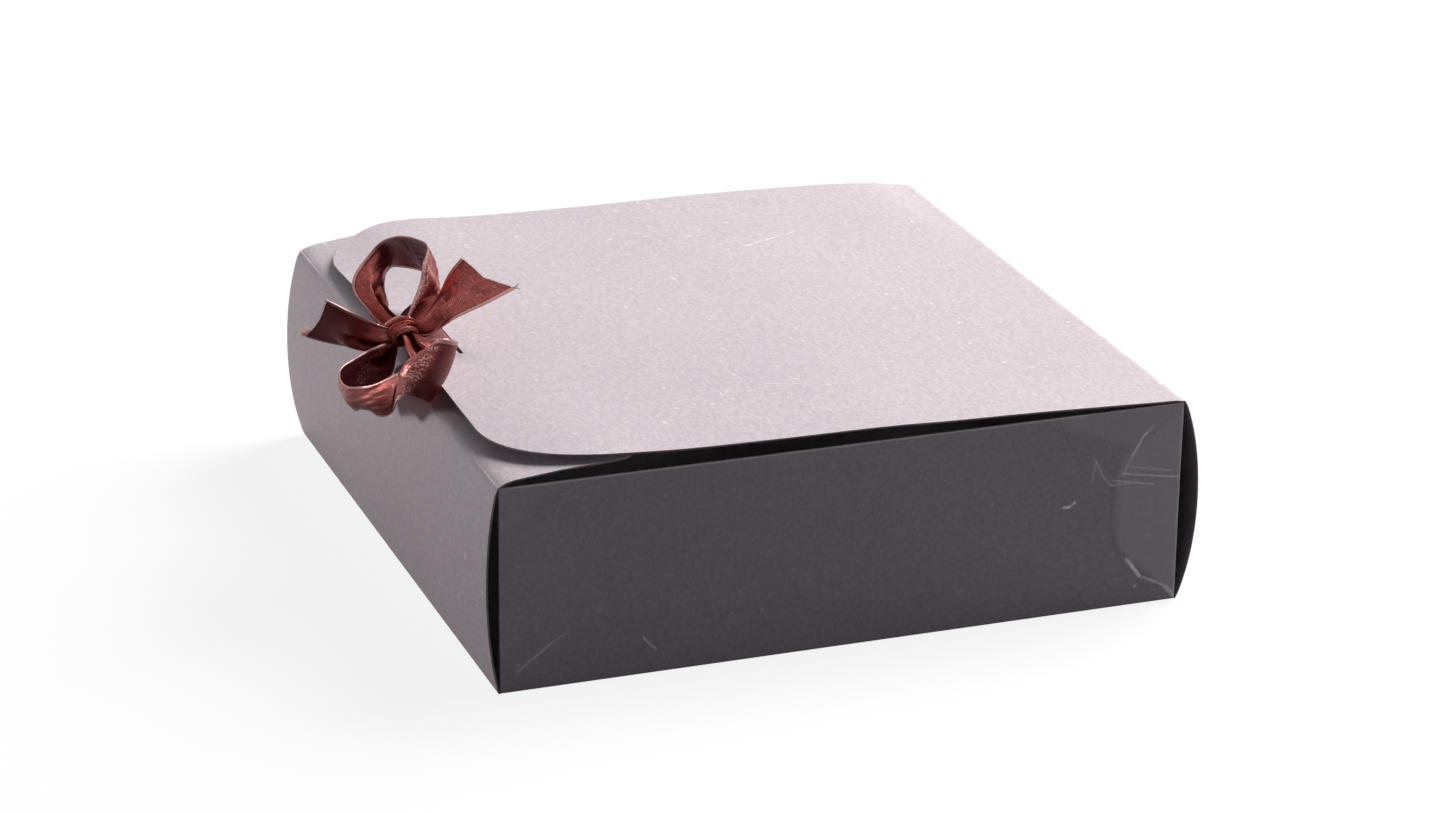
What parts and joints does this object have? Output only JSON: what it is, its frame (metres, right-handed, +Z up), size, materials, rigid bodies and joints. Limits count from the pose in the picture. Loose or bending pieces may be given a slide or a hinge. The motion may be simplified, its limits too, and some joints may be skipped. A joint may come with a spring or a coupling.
{
  "type": "gift box",
  "caption": "Low square gift carton of folded card with a hinged lid, a tuck flap and a satin ribbon bow tied on the lid's front edge.",
  "frame": {"origin": "centre of the carton's underside", "axes": "+Z up, -Y towards the ribbon side, +Y towards the lid's crease, +X to the right when facing the ribbon side"},
  "size_m": [0.2, 0.2266, 0.0913],
  "materials": {
    "carton_card": "satin",
    "ribbon_satin": "satin"
  },
  "bodies": {
    "carton": {"base_panel": "carton_card", "front_wall": "carton_card", "back_wall": "carton_card", "right_end_wall": "carton_card", "left_end_wall": "carton_card", "tab_front_right": "carton_card", "tab_front_left": "carton_card", "tab_back_right": "carton_card", "tab_back_left": "carton_card"},
    "lid": {"lid": "carton_card", "ribbon_strap": "ribbon_satin", "bow_knot": "ribbon_satin", "bow_left_loop": "ribbon_satin", "bow_right_loop": "ribbon_satin", "bow_front_tail": "ribbon_satin", "bow_back_tail": "ribbon_satin"},
    "flap": {"front_flap": "carton_card"}
  },
  "joints": [
    {"name": "lid_hinge", "type": "hinge", "parent": "carton", "child": "lid", "pos_m": [0, 0.1, 0.06], "axis": [-1, 0, 0], "range_deg": [0, 180]},
    {"name": "flap_hinge", "type": "hinge", "parent": "carton", "child": "flap", "pos_m": [0, -0.1, 0.06], "axis": [1, 0, 0], "range_deg": [0, 180]}
  ],
  "couplings": [
    {"joint": "flap_hinge", "follows": "lid_hinge", "ratio": 1}
  ]
}
